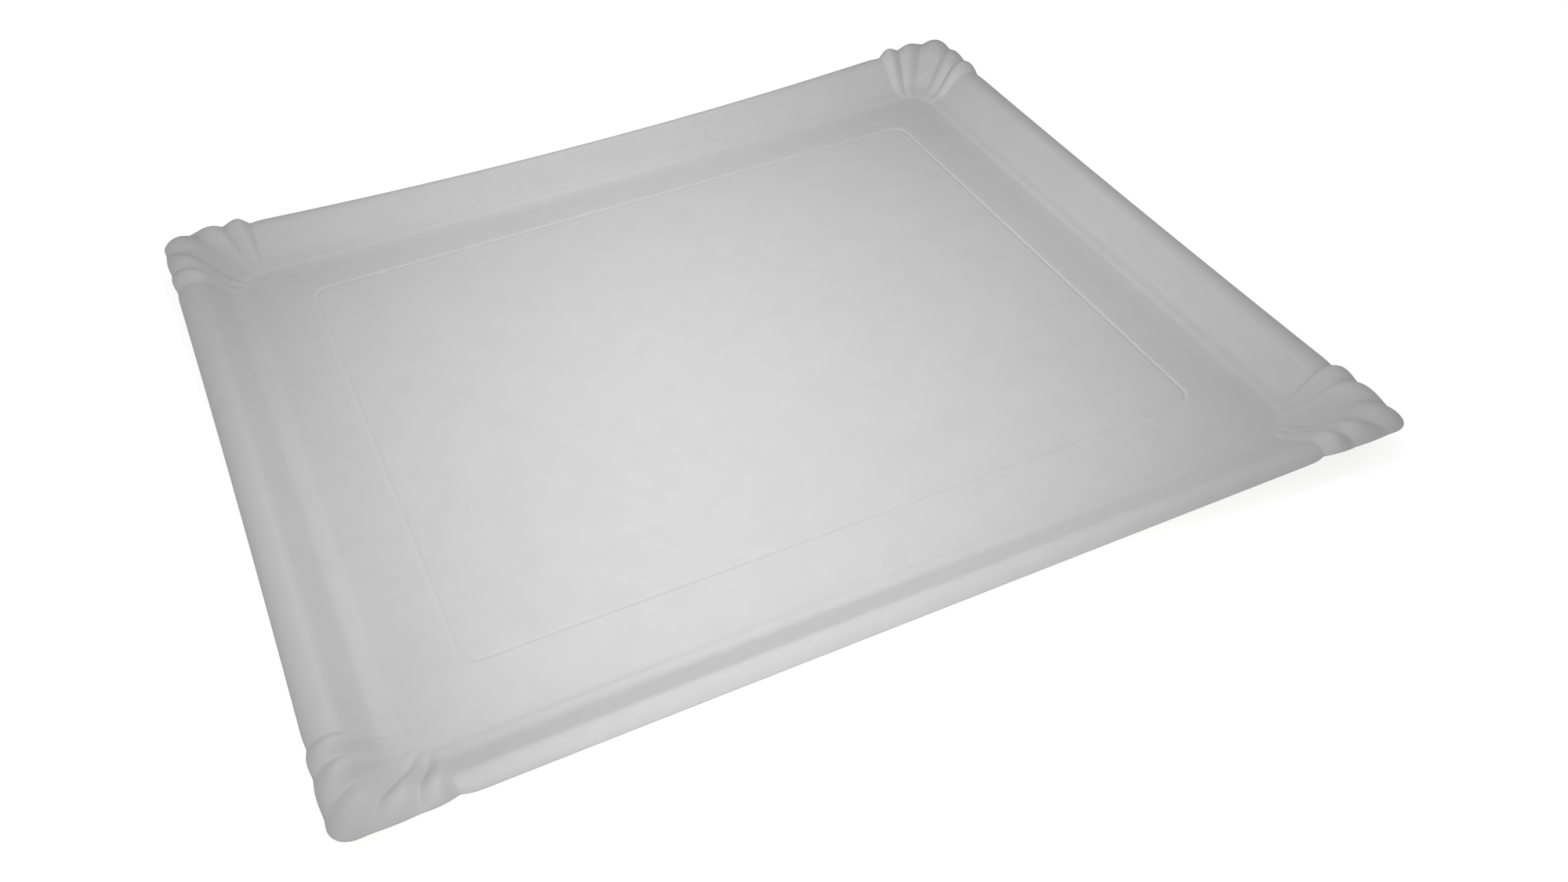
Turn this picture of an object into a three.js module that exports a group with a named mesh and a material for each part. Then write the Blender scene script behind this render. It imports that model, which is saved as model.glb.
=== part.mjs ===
// Flat serving tray pressed from one sheet of white paperboard.
// Millimetres. X runs along the long sides, Y along the short sides, Z is up.
// The underside of the foot ring lies on Z = 0 and the tray is centred on X = Y = 0.
import * as THREE from 'three';

// The sheet
const LENGTH = 300;            // over the lip, between the short sides at the corners
const WIDTH = 250;             // over the lip, between the long sides at the corners
const BOARD = 0.6;             // thickness of the paperboard
const OUTLINE_RADIUS = 6;      // rounding of the cut corners

// The rim, from the lip inward. Insets are measured from the cut edge.
const RIM_HEIGHT = 10;         // top of the rolled lip, by the corners
const LONG_LIP_RADIUS = 4.5;   // roll of the lip on a long side
const LONG_LIP_REACH = 3.8;    // from the top of that roll out to the cut edge
const SHORT_LIP_RADIUS = 6.5;  // the lip of a short side is rolled more widely
const SHORT_LIP_REACH = 5.4;
const LEDGE_HEIGHT = 1.9;      // upper face of the ledge at the foot of the wall
const LEDGE_WIDTH = 3.6;
const LEDGE_FALL = 0.7;        // the ledge slopes down this much
const STEP_RUN = 1.6;          // from the ledge down to the foot ring
const FOOT_INSET = 21;
const FOOT_RADIUS = 8;         // corners of the foot ring
const FOOT_WIDTH = 4;          // flat width that the tray stands on

// The floor inside the foot ring
const GROOVE_INSET = 40.5;     // pressed line around the middle panel
const GROOVE_WIDTH = 1.4;
const GROOVE_DEPTH = 0.35;
const GROOVE_RADIUS = 5;
const PANEL_RISE = 1.7;        // middle panel above the foot ring

// The sides are drawn in and sag between the corners
const LONG_BOW = 2;            // inward, at the lip, in the middle of a long side
const SHORT_BOW = 0.4;         // the same on a short side
const FOOT_BOW_SHARE = 0.5;    // of both, at the foot ring
const LONG_SAG = 2.8;           // the lip is this much lower in the middle of a long side
const SHORT_SAG = 0.4;         // the same on a short side

// The flutes that take up the spare board in each corner
const FLUTES = 5;
const CREST_HEIGHT = 2;        // of a crest, on the top of the roll
const VALLEY_DEPTH = 0.3;      // of a valley or an end crease below the plain rim
const EDGE_SHARE = 0.25;       // of both, at the cut edge
const CORNER_RISE = 0.9;       // the lip of a corner is this much higher than that of a side
const LONG_INSET = 0.6;        // the lip of a long side is set in this far from that of a corner
const CREASE_FADE = 5;         // an end crease fades out along the side over this length
const LONG_CREASE_DRAW = 0.9;  // the cut edge is drawn in this far at the end of a long side
const SHORT_CREASE_DRAW = 0.3; // the same at the end of a short side

// Steps of the mesh
const FLUTE_STEPS = 6;
const LIP_STEPS = 6;
const FINE_SIDE = [0.02, 0.045, 0.1, 0.2, 0.35, 0.5, 0.65, 0.8, 0.9, 0.955, 0.98];
const PLAIN_SIDE = [0.25, 0.5, 0.75];
const PLAIN_CORNER_STEPS = 4;

// A place around the tray is a number from 0 to 8. Even zones are corners, odd zones are sides.
// Zone 0 is the corner at +X +Y, and the zones run counterclockwise.
// How much a place belongs to a short side: 0 along a long side, 1 along a short one.
function shortPart(place) {
  const zone = Math.floor(place) % 8;
  if (zone % 2 === 1) {
    return zone % 4 === 3 ? 1 : 0;
  }
  const share = THREE.MathUtils.smoothstep(place - Math.floor(place), 0, 1);
  return zone % 4 === 2 ? share : 1 - share;
}

// From the top of the roll out to the cut edge, at a place around the tray.
function lipReach(place) {
  return THREE.MathUtils.lerp(LONG_LIP_REACH, SHORT_LIP_REACH, shortPart(place));
}

// Profile of the upper face, as pairs of inset and height from the cut edge inward.
function rimProfile(place) {
  const radius = THREE.MathUtils.lerp(LONG_LIP_RADIUS, SHORT_LIP_RADIUS, shortPart(place));
  const reach = lipReach(place);
  const lip = new THREE.Vector2(reach, RIM_HEIGHT - radius);
  const ledgeInset = FOOT_INSET - STEP_RUN - LEDGE_WIDTH;
  const ledge = new THREE.Vector2(ledgeInset, LEDGE_HEIGHT);
  const toLedge = ledge.clone().sub(lip);
  const tangent = Math.atan2(toLedge.y, toLedge.x) + Math.acos(radius / toLedge.length());
  const edge = Math.PI - Math.acos(reach / radius);
  const roll = new THREE.EllipseCurve(lip.x, lip.y, radius, radius, edge, tangent, true);
  return [
    ...roll.getPoints(LIP_STEPS),
    ledge,
    new THREE.Vector2(FOOT_INSET - STEP_RUN, LEDGE_HEIGHT - LEDGE_FALL),
    new THREE.Vector2(FOOT_INSET, BOARD),
  ];
}

function floorProfile() {
  const half = GROOVE_WIDTH / 2;
  const panel = BOARD + PANEL_RISE;
  return [
    new THREE.Vector2(FOOT_INSET + FOOT_WIDTH, BOARD),
    new THREE.Vector2(GROOVE_INSET - half, panel),
    new THREE.Vector2(GROOVE_INSET, panel - GROOVE_DEPTH),
    new THREE.Vector2(GROOVE_INSET + half, panel),
  ];
}

// Unit normals of a profile, pointing up and, on the wall, inward.
function profileNormals(profile) {
  return profile.map((point, i) => {
    const before = profile[Math.max(i - 1, 0)];
    const after = profile[Math.min(i + 1, profile.length - 1)];
    const along = after.clone().sub(before).normalize();
    return new THREE.Vector2(-along.y, along.x);
  });
}

// Places for a ring of points, with a number of steps in each corner and some shares of each side.
function placesAround(cornerSteps, sideShares) {
  const places = [];
  for (let corner = 0; corner < 4; corner += 1) {
    for (let step = 0; step <= cornerSteps; step += 1) {
      places.push(2 * corner + step / cornerSteps);
    }
    for (const share of sideShares) {
      places.push(2 * corner + 1 + share);
    }
  }
  return places;
}

const CORNER_INSET = FOOT_INSET + FOOT_RADIUS;

// Distance from the centre of the flutes to the cut edge, in a direction given by its angle.
function edgeDistance(angle) {
  const flat = CORNER_INSET - OUTLINE_RADIUS;
  const reach = CORNER_INSET / Math.max(Math.cos(angle), Math.sin(angle));
  const across = reach * Math.min(Math.cos(angle), Math.sin(angle));
  if (across <= flat) {
    return reach;
  }
  const along = flat * (Math.cos(angle) + Math.sin(angle));
  return along + Math.sqrt(OUTLINE_RADIUS ** 2 - 2 * flat ** 2 + along ** 2);
}

// How far out a point of the rim is: 0 at the foot ring, 1 at the cut edge.
function rimShare(inset) {
  return Math.max(0, (FOOT_INSET - inset) / FOOT_INSET);
}

// How far over the lip a point is: 0 up to the top of the roll, 1 at the cut edge.
function lipShare(inset, reach) {
  return Math.max(0, (reach - inset) / reach);
}

// Point of a level line in a corner zone, without its height.
function cornerPoint(corner, share, inset) {
  const turn = (corner * Math.PI) / 2;
  const angle = (share * Math.PI) / 2;
  const outward = new THREE.Vector2(1, 0).rotateAround(new THREE.Vector2(), turn + angle);
  let radius = FOOT_RADIUS + rimShare(inset) * (edgeDistance(angle) - FOOT_RADIUS);
  let centreInset = CORNER_INSET;
  if (inset > FOOT_INSET) {
    const way = (inset - FOOT_INSET) / (GROOVE_INSET - FOOT_INSET);
    radius = THREE.MathUtils.lerp(FOOT_RADIUS, GROOVE_RADIUS, way);
    centreInset = inset + radius;
  }
  const signX = corner === 0 || corner === 3 ? 1 : -1;
  const signY = corner < 2 ? 1 : -1;
  const centre = new THREE.Vector2(
    signX * (LENGTH / 2 - centreInset),
    signY * (WIDTH / 2 - centreInset),
  );
  return { point: centre.addScaledVector(outward, radius), outward };
}

// How far a place in a corner zone is from its end creases, in flutes.
function flutesFromCrease(share) {
  return FLUTES * Math.min(share, 1 - share);
}

// Lift of the flutes across a corner, on the top of the roll.
function fluteLift(share) {
  const crest = Math.abs(Math.sin(Math.PI * share * FLUTES));
  return crest * CREST_HEIGHT - (1 - crest) * VALLEY_DEPTH;
}

// How far a point of a side is drawn in, as a share of the side's bow.
function bowShare(inset) {
  const inside = (inset - FOOT_INSET) / (GROOVE_INSET - FOOT_INSET);
  if (inside > 0) {
    return FOOT_BOW_SHARE * Math.max(0, 1 - inside);
  }
  return THREE.MathUtils.lerp(FOOT_BOW_SHARE, 1, rimShare(inset));
}

// A place in a corner zone: its level point, and what the flutes do there.
function cornerPlace(corner, share, inset) {
  const flutes = flutesFromCrease(share);
  return {
    ...cornerPoint(corner, share, inset),
    lift: fluteLift(share),
    crease: Math.max(0, 1 - flutes) ** 2,
    raised: THREE.MathUtils.smoothstep(2 * flutes, 0, 1),
    sag: 0,
  };
}

// A place in a side zone: its level point, its bow and sag, and the end of the nearest crease.
function sidePlace(corner, share, inset) {
  const start = cornerPoint(corner, 1, inset);
  const end = cornerPoint((corner + 1) % 4, 0, inset);
  const toCrease = Math.min(share, 1 - share) * start.point.distanceTo(end.point);
  const crease = Math.max(0, 1 - toCrease / CREASE_FADE) ** 2;
  const middle = 4 * share * (1 - share);
  const isLong = corner % 2 === 0;
  const point = start.point.clone().lerp(end.point, share);
  point.addScaledVector(start.outward, -(isLong ? LONG_BOW : SHORT_BOW) * middle * bowShare(inset));
  return {
    point,
    outward: start.outward,
    lift: -crease * VALLEY_DEPTH,
    crease,
    raised: 0,
    sag: (isLong ? LONG_SAG : SHORT_SAG) * middle,
  };
}

// Point of the upper face at a place around the tray.
function facePoint(place, profilePoint, normal) {
  const zone = Math.floor(place) % 8;
  const share = place - Math.floor(place);
  const placed = zone % 2 === 0 ? cornerPlace : sidePlace;
  const found = placed(Math.floor(zone / 2), share, profilePoint.x);
  const reach = lipReach(place);
  const rimPart = rimShare(profilePoint.x);
  const lipPart = lipShare(profilePoint.x, reach);
  const depth = Math.min(1, rimPart / rimShare(reach));
  const lift = found.lift * depth * THREE.MathUtils.lerp(1, EDGE_SHARE, lipPart);
  const isShort = shortPart(place);
  const setIn = LONG_INSET * (1 - isShort) * rimPart * (1 - found.raised);
  const draw = THREE.MathUtils.lerp(LONG_CREASE_DRAW, SHORT_CREASE_DRAW, isShort);
  const inward = normal.x * lift + draw * found.crease * lipPart + setIn;
  const level = found.point.addScaledVector(found.outward, -inward);
  const rise = (CORNER_RISE * found.raised - found.sag) * rimPart;
  return new THREE.Vector3(level.x, level.y, profilePoint.y + normal.y * lift + rise);
}

// Rings of points on the upper face, from the cut edge to the middle panel.
const finePlaces = placesAround(FLUTES * FLUTE_STEPS, FINE_SIDE);
const plainPlaces = placesAround(PLAIN_CORNER_STEPS, PLAIN_SIDE);
const rimRings = rimProfile(0).length;
const allRings = rimRings + floorProfile().length;
const upper = [];
const onFoot = [];
const rings = [];
for (let i = 0; i < allRings; i += 1) {
  const ring = [];
  for (const place of i < rimRings ? finePlaces : plainPlaces) {
    const profile = [...rimProfile(place), ...floorProfile()];
    ring.push({ place, index: upper.length });
    upper.push(facePoint(place, profile[i], profileNormals(profile)[i]));
    onFoot.push(i === rimRings - 1 || i === rimRings);
  }
  rings.push(ring);
}
const middle = upper.length;
upper.push(new THREE.Vector3(0, 0, BOARD + PANEL_RISE));
onFoot.push(false);

// Triangles between two rings that may have different numbers of points, facing up.
function stitch(outer, inner) {
  const triangles = [];
  const next = (ring, i) => (i + 1 < ring.length ? ring[i + 1].place : 8);
  let i = 0;
  let j = 0;
  while (i < outer.length || j < inner.length) {
    const a = outer[i % outer.length].index;
    const b = inner[j % inner.length].index;
    if (j === inner.length || (i < outer.length && next(outer, i) <= next(inner, j))) {
      i += 1;
      triangles.push([a, outer[i % outer.length].index, b]);
    } else {
      j += 1;
      triangles.push([inner[j % inner.length].index, b, a]);
    }
  }
  return triangles;
}

const upperFaces = [];
for (let i = 0; i + 1 < rings.length; i += 1) {
  upperFaces.push(...stitch(rings[i], rings[i + 1]));
}
const innermost = rings[rings.length - 1];
innermost.forEach((point, i) => {
  upperFaces.push([point.index, innermost[(i + 1) % innermost.length].index, middle]);
});

// The underside follows the upper face at the thickness of the board.
function surface(points, faces) {
  const geometry = new THREE.BufferGeometry().setFromPoints(points);
  geometry.setIndex(faces.flat());
  geometry.computeVertexNormals();
  return geometry;
}

const upward = surface(upper, upperFaces).getAttribute('normal');
const lower = upper.map((point, i) => {
  const under = new THREE.Vector3().fromBufferAttribute(upward, i);
  under.multiplyScalar(-BOARD).add(point);
  under.z = onFoot[i] ? 0 : under.z;
  return under;
});
const lowerFaces = upperFaces.map(([a, b, c]) => [a, c, b].map((index) => index + upper.length));

// The cut edge joins the two faces.
const cutEdge = rings[0].flatMap(({ index }, i) => {
  const following = rings[0][(i + 1) % rings[0].length].index;
  const below = index + upper.length;
  const belowFollowing = following + upper.length;
  return [[below, belowFollowing, following], [below, following, index]];
});

const sheet = surface([...upper, ...lower], [...upperFaces, ...lowerFaces, ...cutEdge]);
const whiteBoard = new THREE.MeshStandardMaterial({
  color: '#dededc',
  roughness: 0.55,
  metalness: 0,
});
const tray = new THREE.Mesh(sheet, whiteBoard);
tray.name = 'tray';

const group = new THREE.Group();
group.add(tray);

export default group;
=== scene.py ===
# %% [markdown]
# # A pressed paperboard tray
#
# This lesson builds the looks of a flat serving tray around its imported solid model.
# The tray is one sheet of white paperboard. A press folded its rim up, rolled the lip over and
# gathered the spare board of each corner into five flutes.
# The solid model stays where it is; the shown piece is a finer surface made from the same sizes.

import math

import bpy
import numpy as np
from mathutils import Euler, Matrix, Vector


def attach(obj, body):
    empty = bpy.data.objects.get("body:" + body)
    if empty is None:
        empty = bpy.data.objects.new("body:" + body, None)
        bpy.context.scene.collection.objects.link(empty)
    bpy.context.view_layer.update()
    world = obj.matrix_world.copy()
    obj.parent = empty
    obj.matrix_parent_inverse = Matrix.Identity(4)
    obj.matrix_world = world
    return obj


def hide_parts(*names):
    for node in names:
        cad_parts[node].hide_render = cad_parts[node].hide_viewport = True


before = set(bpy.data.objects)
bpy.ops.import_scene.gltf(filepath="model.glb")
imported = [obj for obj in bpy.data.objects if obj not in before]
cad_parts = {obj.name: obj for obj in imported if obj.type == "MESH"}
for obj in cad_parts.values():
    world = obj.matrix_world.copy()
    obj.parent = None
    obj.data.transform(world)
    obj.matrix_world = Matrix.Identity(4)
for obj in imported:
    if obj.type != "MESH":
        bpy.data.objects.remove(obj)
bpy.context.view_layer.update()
print("nodes:", list(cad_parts))

# %% [markdown]
# All sizes are in millimetres, as on a drawing, and are turned into metres when a mesh is made.
# Insets are measured from the cut edge towards the middle of the tray.

# %% Sizes of the tray
MM = 0.001

LENGTH, WIDTH = 300.0, 250.0
BOARD = 0.6
OUTLINE_RADIUS = 6.0

RIM_HEIGHT = 10.0
LONG_LIP_RADIUS, LONG_LIP_REACH = 4.5, 3.8
SHORT_LIP_RADIUS, SHORT_LIP_REACH = 6.5, 5.4
LEDGE_HEIGHT, LEDGE_WIDTH, LEDGE_FALL = 1.9, 3.6, 0.7
STEP_RUN = 1.6
FOOT_INSET, FOOT_RADIUS, FOOT_WIDTH = 21.0, 8.0, 4.0

GROOVE_INSET, GROOVE_WIDTH, GROOVE_DEPTH, GROOVE_RADIUS = 40.5, 1.4, 0.35, 5.0
PANEL_RISE = 1.7

LONG_BOW, SHORT_BOW, FOOT_BOW_SHARE = 2.0, 0.4, 0.5
LONG_SAG, SHORT_SAG = 2.8, 0.4

FLUTES = 5
CREST_HEIGHT, VALLEY_DEPTH, EDGE_SHARE = 2.0, 0.3, 0.25
CORNER_RISE, LONG_INSET = 0.9, 0.6
CREASE_FADE, LONG_CREASE_DRAW, SHORT_CREASE_DRAW = 5.0, 0.9, 0.3

CORNER_INSET = FOOT_INSET + FOOT_RADIUS
print(f"tray {LENGTH} x {WIDTH} mm, rim {RIM_HEIGHT} mm high, board {BOARD} mm")

# %% [markdown]
# ## The profile of the rim
#
# The profile is a path in a plane across the rim: the inset goes along, the height goes up.
# It starts at the cut edge, goes over the roll of the lip, down the wall, over the ledge and the
# step to the foot ring, and on to the pressed groove.
# Board doesn't fold to a point, so each corner of the path is rounded with a small parabola.
# The short sides are rolled more widely than the long ones, so the roll has a radius and a reach
# of its own for each place around the tray.

# %% The profile, with soft folds
LIP_STEPS = 18
FOLD_STEPS = 5
LEDGE_FOLD, STEP_FOLD, FOOT_FOLD = 1.9, 0.8, 1.2
GROOVE_FOLD, GROOVE_BED_FOLD = 0.4, 0.3
WALL_STEPS, LEDGE_STEPS, RING_STEPS, SLOPE_STEPS = 10, 2, 1, 4


def between(low, high, part):
    """The value a share of the way from one value to another: low + (high - low) * part."""
    return low + (high - low) * part


def roll_points(short_part):
    """Points on the circle of the lip, from the cut edge to where the wall leaves it.

    A straight line from the ledge touches the circle where the angle at the circle's centre
    between the line to the ledge and the line to the touching point has cosine radius / distance.
    """
    radius = between(LONG_LIP_RADIUS, SHORT_LIP_RADIUS, short_part)
    reach = between(LONG_LIP_REACH, SHORT_LIP_REACH, short_part)
    centre = np.array([reach, RIM_HEIGHT - radius])
    to_ledge = ledge_point() - centre
    touching = np.arctan2(to_ledge[1], to_ledge[0]) + np.arccos(radius / np.hypot(*to_ledge))
    edge = np.pi - np.arccos(reach / radius)
    angle = np.linspace(edge, touching, LIP_STEPS + 1)
    return centre + radius * np.stack([np.cos(angle), np.sin(angle)], 1)


def ledge_point():
    """Where the wall meets the ledge."""
    return np.array([FOOT_INSET - STEP_RUN - LEDGE_WIDTH, LEDGE_HEIGHT])


def soft_fold(before, corner, after, reach):
    """A parabola that leaves the two straight lines at the given reach from their corner.

    Two folds on one line must have less reach together than the line is long, or the path would
    turn back on itself. For t from 0 to 1 it is (1 - t)^2 start + 2 t (1 - t) corner + t^2 end.
    """
    start = corner + (before - corner) / np.linalg.norm(before - corner) * reach
    end = corner + (after - corner) / np.linalg.norm(after - corner) * reach
    t = np.linspace(0, 1, FOLD_STEPS)[:, None]
    return (1 - t) ** 2 * start + 2 * t * (1 - t) * corner + t**2 * end


def straight(start, end, steps):
    """Evenly spaced points between two ends, without the ends."""
    t = np.linspace(0, 1, steps + 2)[1:-1, None]
    return start + (end - start) * t


def tray_profile(short_part):
    """Pairs of inset and height for the whole upper face, from the cut edge inward.

    Each corner of the path has its place, the reach of its fold and the number of points on the
    straight line before the fold.
    """
    panel = BOARD + PANEL_RISE
    half = GROOVE_WIDTH / 2
    corners = [
        (ledge_point(), LEDGE_FOLD, WALL_STEPS),
        (np.array([FOOT_INSET - STEP_RUN, LEDGE_HEIGHT - LEDGE_FALL]), STEP_FOLD, LEDGE_STEPS),
        (np.array([FOOT_INSET, BOARD]), STEP_FOLD, 0),
        (np.array([FOOT_INSET + FOOT_WIDTH, BOARD]), FOOT_FOLD, RING_STEPS),
        (np.array([GROOVE_INSET - half, panel]), GROOVE_FOLD, SLOPE_STEPS),
        (np.array([GROOVE_INSET, panel - GROOVE_DEPTH]), GROOVE_BED_FOLD, 0),
        (np.array([GROOVE_INSET + half, panel]), GROOVE_FOLD, 0),
    ]
    level_end = corners[-1][0] + np.array([1.0, 0.0])
    following = [corner for corner, _, _ in corners[1:]] + [level_end]
    parts = [roll_points(short_part)]
    for (corner, reach, steps), after in zip(corners, following):
        before = parts[-1][-1]
        fold = soft_fold(before, corner, after, reach)
        parts += [straight(before, fold[0], steps), fold]
    return np.vstack(parts)


def profile_normals(points):
    """Unit normals of a path, pointing up and, on the wall, inward."""
    along = np.gradient(points, axis=0)
    along /= np.linalg.norm(along, axis=-1)[..., None]
    return np.stack([-along[..., 1], along[..., 0]], -1)


long_profile = tray_profile(0.0)
print("profile points:", len(long_profile), "highest:", round(long_profile[:, 1].max(), 2), "mm")

# %% [markdown]
# ## Around the tray
#
# A place around the tray is a number from 0 to 8. Even zones are corners and odd zones are sides,
# counterclockwise from the corner at +X +Y.
# In a corner all lines fan out from one centre: near it they end on a small circle, the corner of
# the foot ring, and far from it on the cut edge, which is nearly square.

# %% Lines that run around the tray
def smooth(t):
    """A step from 0 to 1 with level ends: 3 t^2 - 2 t^3."""
    return t * t * (3 - 2 * t)


def short_part(places):
    """How much a place belongs to a short side: 0 on a long side, 1 on a short one."""
    zone = np.floor(places).astype(int) % 8
    share = smooth(places - np.floor(places))
    on_side = np.where(zone % 4 == 3, 1.0, 0.0)
    in_corner = np.where(zone % 4 == 2, share, 1 - share)
    return np.where(zone % 2 == 0, in_corner, on_side)


def edge_distance(angle):
    """Distance from the centre of the flutes to the cut edge, in a direction from 0 to 90 degrees.

    Off the rounding it is the inset of the centre over the larger of cosine and sine.
    On the rounding it is where the ray leaves a circle: along + sqrt(r^2 - c^2 + along^2).
    """
    flat = CORNER_INSET - OUTLINE_RADIUS
    larger = np.maximum(np.cos(angle), np.sin(angle))
    smaller = np.minimum(np.cos(angle), np.sin(angle))
    reach = CORNER_INSET / larger
    along = flat * (larger + smaller)
    rounded = along + np.sqrt(np.maximum(OUTLINE_RADIUS**2 - 2 * flat**2 + along**2, 0))
    return np.where(reach * smaller <= flat, reach, rounded)


def corner_points(corner, share, inset):
    """Points of the level lines in corners, rows for insets and columns for places."""
    angle = share * np.pi / 2
    turned = corner * np.pi / 2 + angle
    outward = np.stack([np.cos(turned), np.sin(turned)], -1)
    rim_part = np.maximum(0, 1 - inset / FOOT_INSET)
    way = (inset - FOOT_INSET) / (GROOVE_INSET - FOOT_INSET)
    outer_radius = FOOT_RADIUS + rim_part * (edge_distance(angle) - FOOT_RADIUS)
    inner_radius = FOOT_RADIUS + way * (GROOVE_RADIUS - FOOT_RADIUS)
    radius = np.where(way > 0, inner_radius, outer_radius)
    centre_inset = np.where(way > 0, inset + inner_radius, CORNER_INSET)
    sign_x = np.where((corner == 0) | (corner == 3), 1, -1)
    sign_y = np.where(corner < 2, 1, -1)
    centre_x = sign_x * (LENGTH / 2 - centre_inset)
    centre_y = sign_y * (WIDTH / 2 - centre_inset)
    centre = np.stack([centre_x, centre_y], -1)
    return centre + outward * radius[..., None], outward


# %% [markdown]
# ## The upper face
#
# The face is a function of two things: the place around the tray and the point of the profile.
# The sides are drawn in and sag a little between the corners, as pressed board does.
# The flutes lift the corner by an arch for each flute, and their depth grows in a straight line
# from nothing at the foot ring to the full depth at the top of the roll.

# %% Points of the upper face
VALLEY_SOFTNESS = 0.06


def flute_arch(share):
    """One arch for each flute: |sine|, with the sharp valley eased by a small constant."""
    wave = np.sin(np.pi * share * FLUTES)
    eased = np.sqrt(wave**2 + VALLEY_SOFTNESS**2) - VALLEY_SOFTNESS
    return eased / (np.sqrt(1 + VALLEY_SOFTNESS**2) - VALLEY_SOFTNESS)


def upper_face(places):
    """Points of the face in millimetres: rows for the profile, columns for the places."""
    zone = np.floor(places).astype(int) % 8
    share = places - np.floor(places)
    corner = zone // 2
    in_corner = zone % 2 == 0
    is_long = corner % 2 == 0
    shortness = short_part(places)
    points = np.stack([tray_profile(part) for part in shortness], 1)
    inset = points[..., 0]
    normal = profile_normals(points)
    lip_reach = between(LONG_LIP_REACH, SHORT_LIP_REACH, shortness)
    rim_part = np.maximum(0, 1 - inset / FOOT_INSET)
    lip_part = np.maximum(0, 1 - inset / lip_reach)

    fan, fan_outward = corner_points(corner, share, inset)
    start, side_outward = corner_points(corner, np.ones_like(share), inset)
    end, _ = corner_points((corner + 1) % 4, np.zeros_like(share), inset)
    middle = 4 * share * (1 - share)
    bow = np.where(is_long, LONG_BOW, SHORT_BOW) * middle
    inside = (inset - FOOT_INSET) / (GROOVE_INSET - FOOT_INSET)
    inner_drawn = FOOT_BOW_SHARE * np.maximum(0, 1 - inside)
    rim_drawn = FOOT_BOW_SHARE + (1 - FOOT_BOW_SHARE) * rim_part
    drawn = np.where(inside > 0, inner_drawn, rim_drawn)
    side = start + (end - start) * share[:, None] - side_outward * (bow * drawn)[..., None]
    level = np.where(in_corner[:, None], fan, side)
    outward = np.where(in_corner[:, None], fan_outward, side_outward)

    arch = flute_arch(share)
    flutes = FLUTES * np.minimum(share, 1 - share)
    raised = np.where(in_corner, smooth(np.clip(2 * flutes, 0, 1)), 0)
    to_crease = np.minimum(share, 1 - share) * np.linalg.norm(end - start, axis=-1)
    side_crease = np.maximum(0, 1 - to_crease / CREASE_FADE) ** 2
    crease = np.where(in_corner, np.maximum(0, 1 - flutes) ** 2, side_crease)
    flute_lift = arch * CREST_HEIGHT - (1 - arch) * VALLEY_DEPTH
    lift = np.where(in_corner, flute_lift, -crease * VALLEY_DEPTH)
    top_part = 1 - lip_reach / FOOT_INSET
    lift = lift * np.minimum(1, rim_part / top_part) * between(1, EDGE_SHARE, lip_part)
    side_sag = np.where(is_long, LONG_SAG, SHORT_SAG) * middle
    rise = np.where(in_corner, CORNER_RISE * raised, -side_sag) * rim_part

    set_in = LONG_INSET * (1 - shortness) * rim_part * (1 - raised)
    crease_draw = between(LONG_CREASE_DRAW, SHORT_CREASE_DRAW, shortness)
    inward = normal[..., 0] * lift + crease_draw * crease * lip_part + set_in
    level = level - outward * inward[..., None]
    height = points[..., 1] + normal[..., 1] * lift + rise
    return np.concatenate([level, height[..., None]], -1)


# %% [markdown]
# ## From points to a closed sheet
#
# The upper face is a grid that closes on itself around the tray. The underside is the same grid,
# moved by the thickness of the board against the face's own normals. A strip along the cut edge
# and a middle panel on each face close the sheet.

# %% Mesh of the sheet
FLUTE_STEPS = 16
SIDE_STEPS = 40
FOOT_FLAT = (FOOT_INSET, FOOT_INSET + FOOT_WIDTH)
UPPER, UNDERSIDE, CUT_EDGE = 0, 1, 2


def places_around():
    """Places around the tray, closer together in the corners and near the end creases."""
    corner = np.linspace(0, 1, FLUTES * FLUTE_STEPS, endpoint=False)
    even = np.linspace(0, 1, SIDE_STEPS, endpoint=False)
    side = 0.5 - 0.5 * np.cos(np.pi * even)
    return np.concatenate([2 * k + np.concatenate([corner, 1 + side]) for k in range(4)])


def grid_normals(points):
    """Unit normals of a grid that closes in its second direction, by crossed differences."""
    around = np.roll(points, -1, axis=1) - np.roll(points, 1, axis=1)
    inward = np.gradient(points, axis=0)
    normal = np.cross(around, inward)
    return normal / np.linalg.norm(normal, axis=-1)[..., None]


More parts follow.
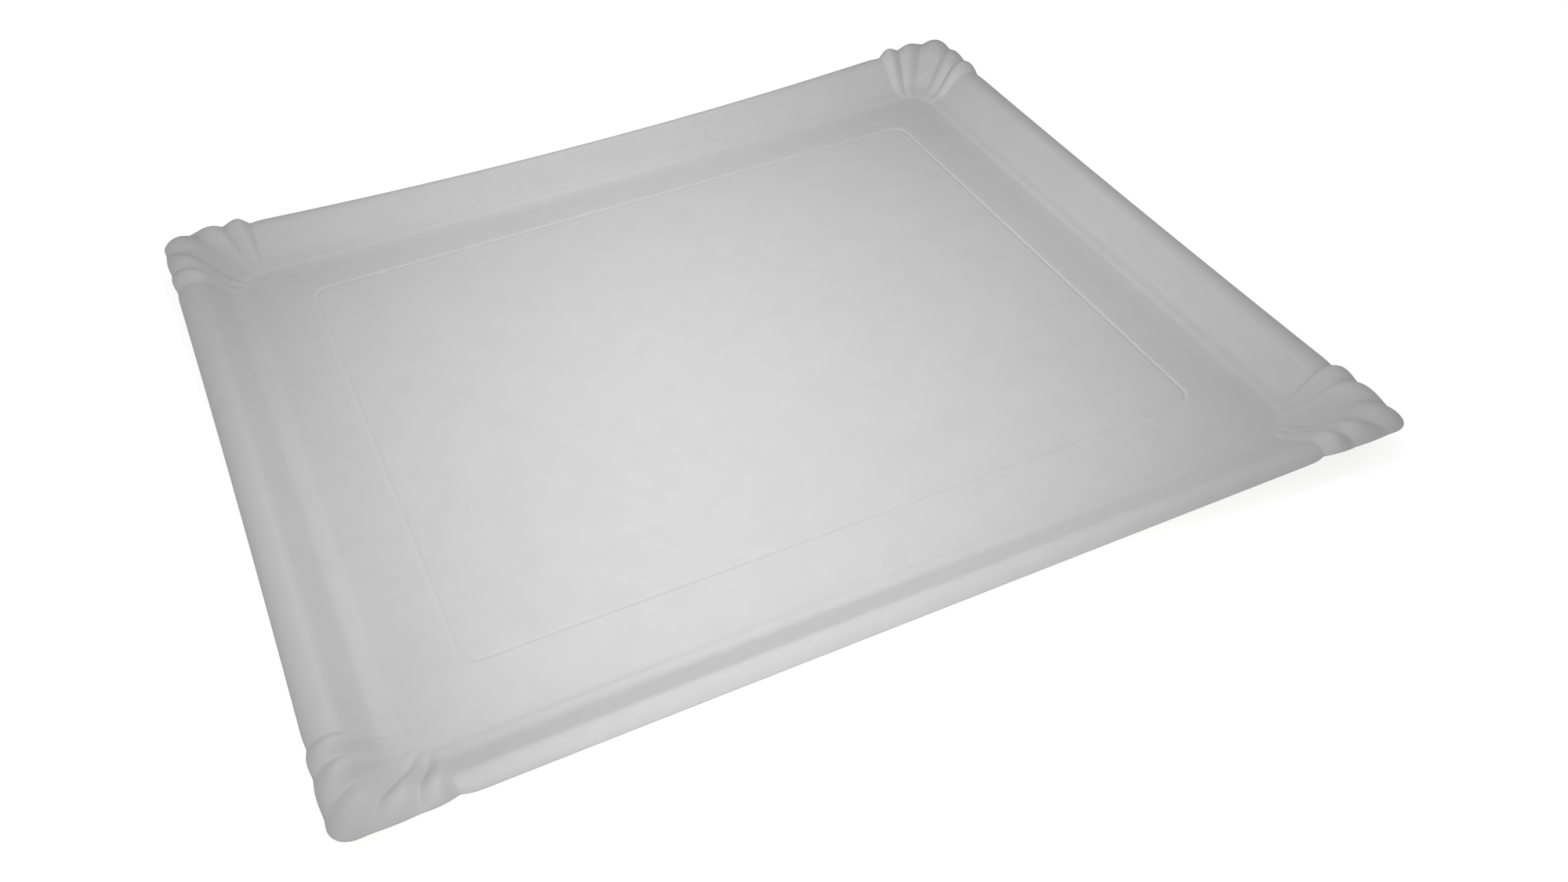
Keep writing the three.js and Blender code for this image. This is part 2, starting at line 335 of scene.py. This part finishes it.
def sheet_mesh(name):
    """The closed sheet as a Blender mesh, its faces marked by the material that they take."""
    upper = upper_face(places_around())
    rows, columns, _ = upper.shape
    lower = upper - BOARD * grid_normals(upper)
    insets, heights = long_profile.T
    on_foot = (insets >= FOOT_FLAT[0]) & (insets <= FOOT_FLAT[1])
    lower[on_foot, :, 2] = 0.0
    middles = np.array([[0, 0, heights[-1]], [0, 0, heights[-1] - BOARD]])
    points = np.vstack([upper.reshape(-1, 3), lower.reshape(-1, 3), middles]) * MM

    size = rows * columns
    index = np.arange(size).reshape(rows, columns)
    following = np.roll(index, -1, axis=1)
    quads = np.stack([index[:-1], following[:-1], following[1:], index[1:]], -1).reshape(-1, 4)
    under = quads[:, ::-1] + size
    edge = np.stack([index[0] + size, following[0] + size, following[0], index[0]], -1)
    panel = [(a, b, 2 * size) for a, b in zip(index[-1], following[-1])]
    panel_under = [(b + size, a + size, 2 * size + 1) for a, b, _ in panel]

    faces = [*quads.tolist(), *panel, *under.tolist(), *panel_under, *edge.tolist()]
    upper_count, under_count = len(quads) + len(panel), len(under) + len(panel_under)
    kinds = [UPPER] * upper_count + [UNDERSIDE] * under_count + [CUT_EDGE] * len(edge)
    mesh = bpy.data.meshes.new(name)
    mesh.from_pydata(points.tolist(), [], faces)
    mesh.polygons.foreach_set("material_index", kinds)
    mesh.polygons.foreach_set("use_smooth", [kind != CUT_EDGE for kind in kinds])
    mesh.update()
    return mesh


tray_mesh = sheet_mesh("pressed_sheet")
tray = bpy.data.objects.new("pressed_sheet", tray_mesh)
bpy.context.scene.collection.objects.link(tray)
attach(tray, "root")
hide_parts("tray")
print("faces of the sheet:", len(tray_mesh.polygons))

# %% [markdown]
# ## Colours and node trees
#
# Colours are written as sRGB hex values and turned into the linear values that shading needs.
# Each channel c up to 0.04045 becomes c / 12.92, and each larger one ((c + 0.055) / 1.055) ^ 2.4.

# %% Helpers for colours and nodes
def linear(hex_colour, alpha=1.0):
    """Linear red, green, blue and alpha of an sRGB hex colour."""
    channels = [int(hex_colour.lstrip("#")[i : i + 2], 16) / 255 for i in (0, 2, 4)]
    curved = [c / 12.92 if c <= 0.04045 else ((c + 0.055) / 1.055) ** 2.4 for c in channels]
    return (*curved, alpha)


def add_node(tree, kind, settings=None, inputs=None):
    """Adds a node; settings are its properties, and inputs are values or sockets to link from."""
    node = tree.nodes.new(kind)
    for name, value in (settings or {}).items():
        setattr(node, name, value)
    for name, value in (inputs or {}).items():
        if isinstance(value, bpy.types.NodeSocket):
            tree.links.new(value, node.inputs[name])
        else:
            node.inputs[name].default_value = value
    return node


def new_material(name):
    """An empty material with its output node."""
    material = bpy.data.materials.new(name)
    material.use_nodes = True
    material.node_tree.nodes.clear()
    output = add_node(material.node_tree, "ShaderNodeOutputMaterial")
    return material, material.node_tree, output


print("white board, linear:", [round(v, 3) for v in linear("#dfdede")])

# %% [markdown]
# ## White paperboard
#
# Paperboard is a felt of wood fibres. Under even light it shows a cloudy mottling about 9 mm
# across, where the felt is thicker or thinner, and a fine grain of fibres that lie mostly along
# the direction the board was made in. Real fibres are about 0.03 mm wide, too fine to show here,
# so the grain is drawn 0.35 mm wide.
# The upper face is coated, so it is smoother and has a soft sheen. The underside is bare board,
# which is duller and a little darker, and the cut edge is rough and the darkest.

# %% Paperboard
CLOUD_MM, CLOUD_DETAIL, CLOUD_ROUGHNESS = 9.0, 4.0, 0.6
CLOUD_LOW, CLOUD_HIGH = 0.3, 0.7
FIBRE_MM, FIBRE_DETAIL, FIBRE_ROUGHNESS = 0.35, 3.0, 0.7
FIBRE_STRETCH = 5.0
SWELL_MM = 70.0
BOARD_IOR = 1.5


def per_metre(size_mm):
    """Noise scale for features of the given size, when the coordinates are in metres."""
    return 1 / (size_mm * MM)


def paperboard(name, light, dark, roughness, grain_mm, swell_mm, cloud_share):
    """Felted board: colour mottled between two tones, with a grain of fibres and a slight swell.

    The cloud share is how much of the way between the two tones the mottling takes up.
    """
    material, tree, output = new_material(name)
    place = add_node(tree, "ShaderNodeTexCoord").outputs["Object"]
    clouds = add_node(
        tree,
        "ShaderNodeTexNoise",
        inputs={
            "Vector": place,
            "Scale": per_metre(CLOUD_MM),
            "Detail": CLOUD_DETAIL,
            "Roughness": CLOUD_ROUGHNESS,
        },
    )
    spread = add_node(
        tree,
        "ShaderNodeMapRange",
        inputs={
            "Value": clouds.outputs["Fac"],
            "From Min": CLOUD_LOW,
            "From Max": CLOUD_HIGH,
            "To Min": 0.5 - cloud_share / 2,
            "To Max": 0.5 + cloud_share / 2,
        },
    )
    tone = add_node(
        tree,
        "ShaderNodeMix",
        settings={"data_type": "RGBA"},
        inputs={"Factor": spread.outputs["Result"]},
    )
    tone.inputs["A"].default_value = linear(dark)
    tone.inputs["B"].default_value = linear(light)
    stretched = add_node(
        tree,
        "ShaderNodeMapping",
        inputs={"Vector": place, "Scale": (1 / FIBRE_STRETCH, 1.0, 1.0)},
    )
    fibres = add_node(
        tree,
        "ShaderNodeTexNoise",
        inputs={
            "Vector": stretched.outputs["Vector"],
            "Scale": per_metre(FIBRE_MM),
            "Detail": FIBRE_DETAIL,
            "Roughness": FIBRE_ROUGHNESS,
        },
    )
    swell = add_node(
        tree,
        "ShaderNodeTexNoise",
        inputs={"Vector": place, "Scale": per_metre(SWELL_MM), "Detail": 1.0},
    )
    grain = add_node(
        tree,
        "ShaderNodeBump",
        inputs={"Height": fibres.outputs["Fac"], "Distance": grain_mm * MM, "Strength": 1.0},
    )
    uneven = add_node(
        tree,
        "ShaderNodeBump",
        inputs={
            "Height": swell.outputs["Fac"],
            "Distance": swell_mm * MM,
            "Strength": 1.0,
            "Normal": grain.outputs["Normal"],
        },
    )
    board = add_node(
        tree,
        "ShaderNodeBsdfPrincipled",
        inputs={
            "Base Color": tone.outputs["Result"],
            "Roughness": roughness,
            "IOR": BOARD_IOR,
            "Normal": uneven.outputs["Normal"],
        },
    )
    tree.links.new(board.outputs["BSDF"], output.inputs["Surface"])
    return material


coated = paperboard(
    "coated paperboard",
    light="#dfdede",
    dark="#d8d7d7",
    roughness=0.5,
    grain_mm=0.012,
    swell_mm=0.25,
    cloud_share=0.5,
)
bare = paperboard(
    "bare paperboard",
    light="#d6d5d0",
    dark="#cac9c3",
    roughness=0.8,
    grain_mm=0.03,
    swell_mm=0.25,
    cloud_share=1.0,
)
cut = paperboard(
    "cut board edge",
    light="#cfcdc6",
    dark="#bfbdb5",
    roughness=0.9,
    grain_mm=0.06,
    swell_mm=0.0,
    cloud_share=1.0,
)
for material in (coated, bare, cut):
    tray_mesh.materials.append(material)
print("materials:", [material.name for material in tray_mesh.materials])

# %% [markdown]
# ## Table and light
#
# The tray lies on a plain white table. The world gives an even soft fill. One soft spot lamp
# stands where the camera stands and a weaker one behind the tray. Both are aimed at the same
# place, a little in front of the middle, and their soft cones let the light fall off to the
# corners. A small lamp hangs over that place, and a low broad light from the front left shows
# the roll of the lip. The power of a spot lamp and of the hanging lamp is given for one metre and
# goes with the square of the distance, so that it can be moved without a change in brightness.

# %% Table, lamps and world
TABLE_SIZE = 4.0
TABLE_ROUGHNESS, TABLE_GLOW = 0.9, 0.7
BRIGHT_PLACE = (-0.02, -0.032, 0.002)
LAMP_RADIUS = 0.03


def white_table():
    """A flat white table. Seen by the camera it also glows a little, so it reads as plain white."""
    half = TABLE_SIZE / 2
    mesh = bpy.data.meshes.new("table")
    corners = [(-half, -half, 0), (half, -half, 0), (half, half, 0), (-half, half, 0)]
    mesh.from_pydata(corners, [], [(0, 1, 2, 3)])
    floor = bpy.data.objects.new("table", mesh)
    bpy.context.scene.collection.objects.link(floor)
    material, tree, output = new_material("white table")
    paint = add_node(
        tree,
        "ShaderNodeBsdfPrincipled",
        inputs={"Base Color": linear("#e8e8e8"), "Roughness": TABLE_ROUGHNESS},
    )
    glow = add_node(
        tree,
        "ShaderNodeEmission",
        inputs={"Color": linear("#ffffff"), "Strength": TABLE_GLOW},
    )
    nothing = add_node(tree, "ShaderNodeEmission", inputs={"Strength": 0.0})
    seen = add_node(tree, "ShaderNodeLightPath").outputs["Is Camera Ray"]
    only_seen = add_node(tree, "ShaderNodeMixShader", inputs={"Fac": seen})
    tree.links.new(nothing.outputs["Emission"], only_seen.inputs[1])
    tree.links.new(glow.outputs["Emission"], only_seen.inputs[2])
    both = add_node(tree, "ShaderNodeAddShader")
    tree.links.new(paint.outputs["BSDF"], both.inputs[0])
    tree.links.new(only_seen.outputs["Shader"], both.inputs[1])
    tree.links.new(both.outputs["Shader"], output.inputs["Surface"])
    mesh.materials.append(material)
    return floor


def hang(name, light, place, aim):
    """Puts a lamp at its place, turned towards a point, and hides it from the camera."""
    lamp_object = bpy.data.objects.new(name, light)
    lamp_object.location = place
    way = Vector(aim) - Vector(place)
    lamp_object.rotation_euler = way.to_track_quat("-Z", "Y").to_euler()
    lamp_object.visible_camera = False
    bpy.context.scene.collection.objects.link(lamp_object)


def spot_lamp(name, place, cone, power_at_metre):
    """A soft spot lamp aimed at the bright place, with a cone that fades from its middle out."""
    light = bpy.data.lights.new(name, "SPOT")
    light.spot_size = math.radians(cone)
    light.spot_blend = 1.0
    light.shadow_soft_size = LAMP_RADIUS
    light.energy = power_at_metre * (Vector(BRIGHT_PLACE) - Vector(place)).length_squared
    hang(name, light, place, BRIGHT_PLACE)


def top_lamp(name, height, size, power_at_metre):
    """A square lamp that hangs straight over the bright place."""
    light = bpy.data.lights.new(name, "AREA")
    light.size = size
    light.energy = power_at_metre * height**2
    hang(name, light, (*BRIGHT_PLACE[:2], height), BRIGHT_PLACE)


def far_light(name, azimuth, elevation, spread, strength):
    """A light from far off, as broad as its spread. Azimuth 0 is in front, 270 at the left."""
    around, up = math.radians(azimuth), math.radians(elevation)
    light = bpy.data.lights.new(name, "SUN")
    light.angle = math.radians(spread)
    light.energy = strength
    level = math.cos(up)
    place = (level * math.sin(around), -level * math.cos(around), math.sin(up))
    hang(name, light, place, (0, 0, 0))


def world_light(strength):
    """Even light from all around, and plain white where the camera sees past the table."""
    world = bpy.data.worlds.new("studio")
    bpy.context.scene.world = world
    world.use_nodes = True
    tree = world.node_tree
    tree.nodes.clear()
    output = add_node(tree, "ShaderNodeOutputWorld")
    fill = add_node(
        tree,
        "ShaderNodeBackground",
        inputs={"Color": linear("#ffffff"), "Strength": strength},
    )
    white = add_node(
        tree,
        "ShaderNodeBackground",
        inputs={"Color": linear("#ffffff"), "Strength": 1.0},
    )
    seen = add_node(tree, "ShaderNodeLightPath").outputs["Is Camera Ray"]
    mix = add_node(tree, "ShaderNodeMixShader", inputs={"Fac": seen})
    tree.links.new(fill.outputs["Background"], mix.inputs[1])
    tree.links.new(white.outputs["Background"], mix.inputs[2])
    tree.links.new(mix.outputs["Shader"], output.inputs["Surface"])


white_table()
spot_lamp("front lamp", (-0.132, -0.309, 0.277), cone=50, power_at_metre=12.8)
spot_lamp("back lamp", (0.1, 0.35, 0.4), cone=45, power_at_metre=6.8)
top_lamp("top lamp", height=0.2, size=0.12, power_at_metre=2.1)
far_light("side light", azimuth=315, elevation=20, spread=40, strength=0.43)
world_light(strength=0.345)

# %% [markdown]
# ## Camera
#
# The camera stands near the left corner of the near long side and looks down across the tray.
# A pinhole camera's focal length in pixels is its lens in millimetres over the sensor width,
# times the picture width; the shift moves the picture over the optical axis.

# %% Camera
PICTURE_WIDTH, PICTURE_HEIGHT = 2000, 1125
FOCAL_PIXELS = 1762.2
AXIS_X, AXIS_Y = 919.7, 589.6
CAMERA_PLACE = (-129.6, -304.0, 271.9)
CAMERA_TURN = (45.78, 1.96, -24.42)

camera_data = bpy.data.cameras.new("camera")
camera_data.sensor_width = 36.0
camera_data.lens = FOCAL_PIXELS / PICTURE_WIDTH * camera_data.sensor_width
camera_data.shift_x = (PICTURE_WIDTH / 2 - AXIS_X) / PICTURE_WIDTH
camera_data.shift_y = (AXIS_Y - PICTURE_HEIGHT / 2) / PICTURE_WIDTH
camera = bpy.data.objects.new("camera", camera_data)
camera.location = Vector(CAMERA_PLACE) * MM
camera.rotation_euler = Euler([math.radians(angle) for angle in CAMERA_TURN])
bpy.context.scene.collection.objects.link(camera)
bpy.context.scene.camera = camera
bpy.context.scene.view_settings.view_transform = "Standard"
print("lens:", round(camera_data.lens, 1), "mm")
